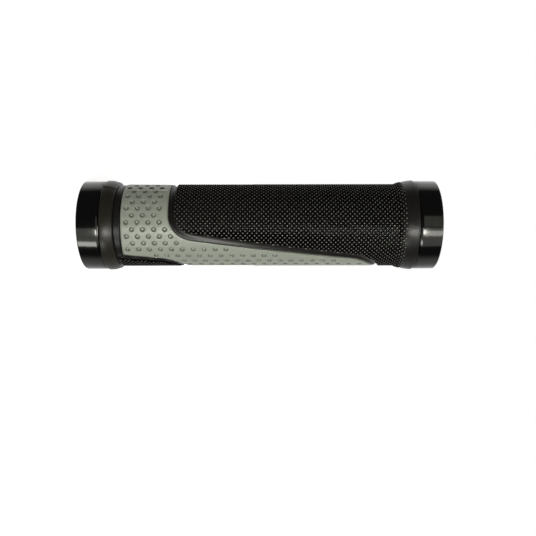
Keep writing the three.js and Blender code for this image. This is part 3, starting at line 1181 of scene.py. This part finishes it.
nylon = finish_for("nylon_finish", [sleeve])
nylon_dark = (0.018, 0.018, 0.018, 1)
nylon_pale = (0.026, 0.026, 0.025, 1)
cloud = nylon.noise(nylon.place(), 900, 3)
nylon.surface(nylon.principled(
    Base_Color=nylon.blend(cloud, nylon_dark, nylon_pale),
    Roughness=(cloud * 0.15 + 0.42).clamped(),
    Normal=nylon.bump(cloud, 0.00002, 0.4),
))
print("screws and sleeve:", len(steel.tree.nodes) + len(nylon.tree.nodes), "nodes")

# %% [markdown]
# ## The studio
# The photograph is taken on pure white, and the world is white for the camera. Glossy pieces mirror
# another room: white behind the grip, dimmer towards +X, which is down in the picture, and dark behind the
# camera. The room that lights the pieces is a low fill with a strong, slightly warm patch behind the grip
# on the picture's upper side, for the grip's upper rim.

# %% The world
scene = bpy.context.scene
scene.view_settings.view_transform = "Standard"
world = bpy.data.worlds.new("studio")
scene.world = world
studio = Finish(world)
white = (1, 1, 1, 1)
warm_white = (1, 0.84, 0.76, 1)
dark_room = 0.05
backdrop_glow = 0.95
lower_dimming = 0.55
backdrop_lean = 0.15
backdrop_start = 0.035
backdrop_fade = 0.33
fill_light = 0.03
backdrop_light = 0.12
patch_light = 2.0
patch_direction = (-0.57, 0.82)
patch_edge = 0.6
patch_softness = 0.4
camera_ray, glossy_ray, transmission_ray = studio.rays("Camera", "Glossy", "Transmission")
x, y, z = studio.parts(studio.node("ShaderNodeTexCoord", output="Generated"))
towards_patch = x * patch_direction[0] + y * patch_direction[1]
behind = ((y + x * backdrop_lean - backdrop_start) / backdrop_fade).clamped()
upper_rear = ((towards_patch - patch_edge) / patch_softness).clamped()
mirrored = (glossy_ray + transmission_ray).clamped()
lit_room = fill_light + behind * backdrop_light + upper_rear * patch_light
seen_room = behind * (backdrop_glow - x.clamped() * lower_dimming) + dark_room
room = lit_room + mirrored * (seen_room - lit_room)
warmth = upper_rear * (1 - (mirrored + camera_ray).clamped())
tint = studio.blend(warmth, white, warm_white)
strength = room + camera_ray * (1 - room)
background = studio.node("ShaderNodeBackground", {}, {"Color": tint, "Strength": strength})
studio.node("ShaderNodeOutputWorld", {}, {"Surface": background})
print("world:", len(studio.tree.nodes), "nodes")

# %% [markdown]
# The floor keeps the grip's shadow and lets reflections and the light of the lamps below it pass. For the
# camera it also glows, more so away from the grip, so that it fades into the white round it.

# %% The floor
floor_size = 3
floor_white = (0.8, 0.8, 0.8, 1)
glow_near = 0.8
glow_gain = 0.5
glow_start = 0.03
glow_fade = 0.2
floor_corners = [(x * floor_size, y * floor_size, 0) for x, y in ((-1, -1), (1, -1), (1, 1), (-1, 1))]
floor = make_piece("floor", floor_corners, [(0, 1, 2, 3)])
paint = finish_for("pale_floor", [floor])
camera_ray, shadow_ray = paint.rays("Camera", "Shadow")
glossy_ray, transmission_ray = paint.rays("Glossy", "Transmission")
passing = (glossy_ray + transmission_ray + shadow_ray).clamped()
from_axis, z = paint.axis_distance(paint.place())
away = ((from_axis - glow_start) / glow_fade).clamped()
glow = camera_ray * (away * glow_gain + glow_near)
lit = paint.principled(
    Base_Color=floor_white,
    Roughness=1.0,
    Specular_IOR_Level=0.0,
    Emission_Color=paint.node("ShaderNodeCombineColor", {}, {0: glow, 1: glow, 2: glow}),
    Emission_Strength=1.0,
)
paint.mixed_surface(passing, lit, paint.node("ShaderNodeBsdfTransparent"))
print("floor:", len(paint.tree.nodes), "nodes")

# %% [markdown]
# Three strips and a broad panel draw the bright bands on the rings, and they are also the plain light on
# the rubber. Two lamps past the grip's ends light its dimples from the side, and a faint card shows only
# in the ring beside the flare.

# %% The lamps
def soft_lamp(name, angle, height, distance, width, length, power, colour):
    """A soft box at an angle round the grip and a height, facing the axis, with its length along it."""
    light = bpy.data.lights.new(name, "AREA")
    light.shape = "RECTANGLE"
    light.size = width
    light.size_y = length
    light.energy = power
    light.color = colour
    lamp = bpy.data.objects.new(name, light)
    bpy.context.scene.collection.objects.link(lamp)
    out = around(1, angle, 0) / MM
    lamp.location = out * distance + Vector((0, 0, height))
    lamp.rotation_euler = (-out).to_track_quat("-Z", "Y").to_euler()


soft_lamp("high_strip", 20.5, 0.23, 0.6, 0.14, 0.45, 0.6, (1, 0.99, 0.94))
soft_lamp("low_strip", 48, -0.19, 0.6, 0.13, 0.28, 0.52, (0.98, 1, 0.96))
soft_lamp("broad_panel", 31, 0.065, 0.8, 0.72, 1.2, 1.5, (1, 1, 0.94))
soft_lamp("middle_strip", 16.5, 0.07, 0.6, 0.12, 0.35, 2.0, (1, 0.99, 0.94))
soft_lamp("upper_end", 15, 0.7, 0.75, 0.3, 0.3, 2.6, (1, 1, 0.97))
soft_lamp("lower_end", 58, -0.77, 0.75, 0.3, 0.3, 1.2, (1, 1, 0.97))
soft_lamp("faint_card", -10, 0.29, 0.6, 0.28, 0.2, 0.06, (1, 1, 0.9))
print("lamps:", len(bpy.data.lights))

# %% [markdown]
# The camera stands level with the middle of the grip and is rolled a quarter turn, so that the standing
# grip lies across the picture as it does in the photograph.

# %% The camera
camera_place = Vector((-0.00418, -0.23543, 0.06737))
camera_forward = Vector((0.0867, 0.9962, 0.0024))
picture_down = Vector((0.9962, -0.0867, -0.0013))
camera = bpy.data.objects.new("camera", bpy.data.cameras.new("camera"))
scene.collection.objects.link(camera)
scene.camera = camera
camera.data.sensor_width = 36
camera.data.lens = 41.64
back = -camera_forward.normalized()
right = (-picture_down).cross(back).normalized()
up = back.cross(right)
camera.matrix_world = Matrix.Translation(camera_place) @ Matrix((right, up, back)).transposed().to_4x4()
print("camera lens:", round(camera.data.lens, 2), "mm")
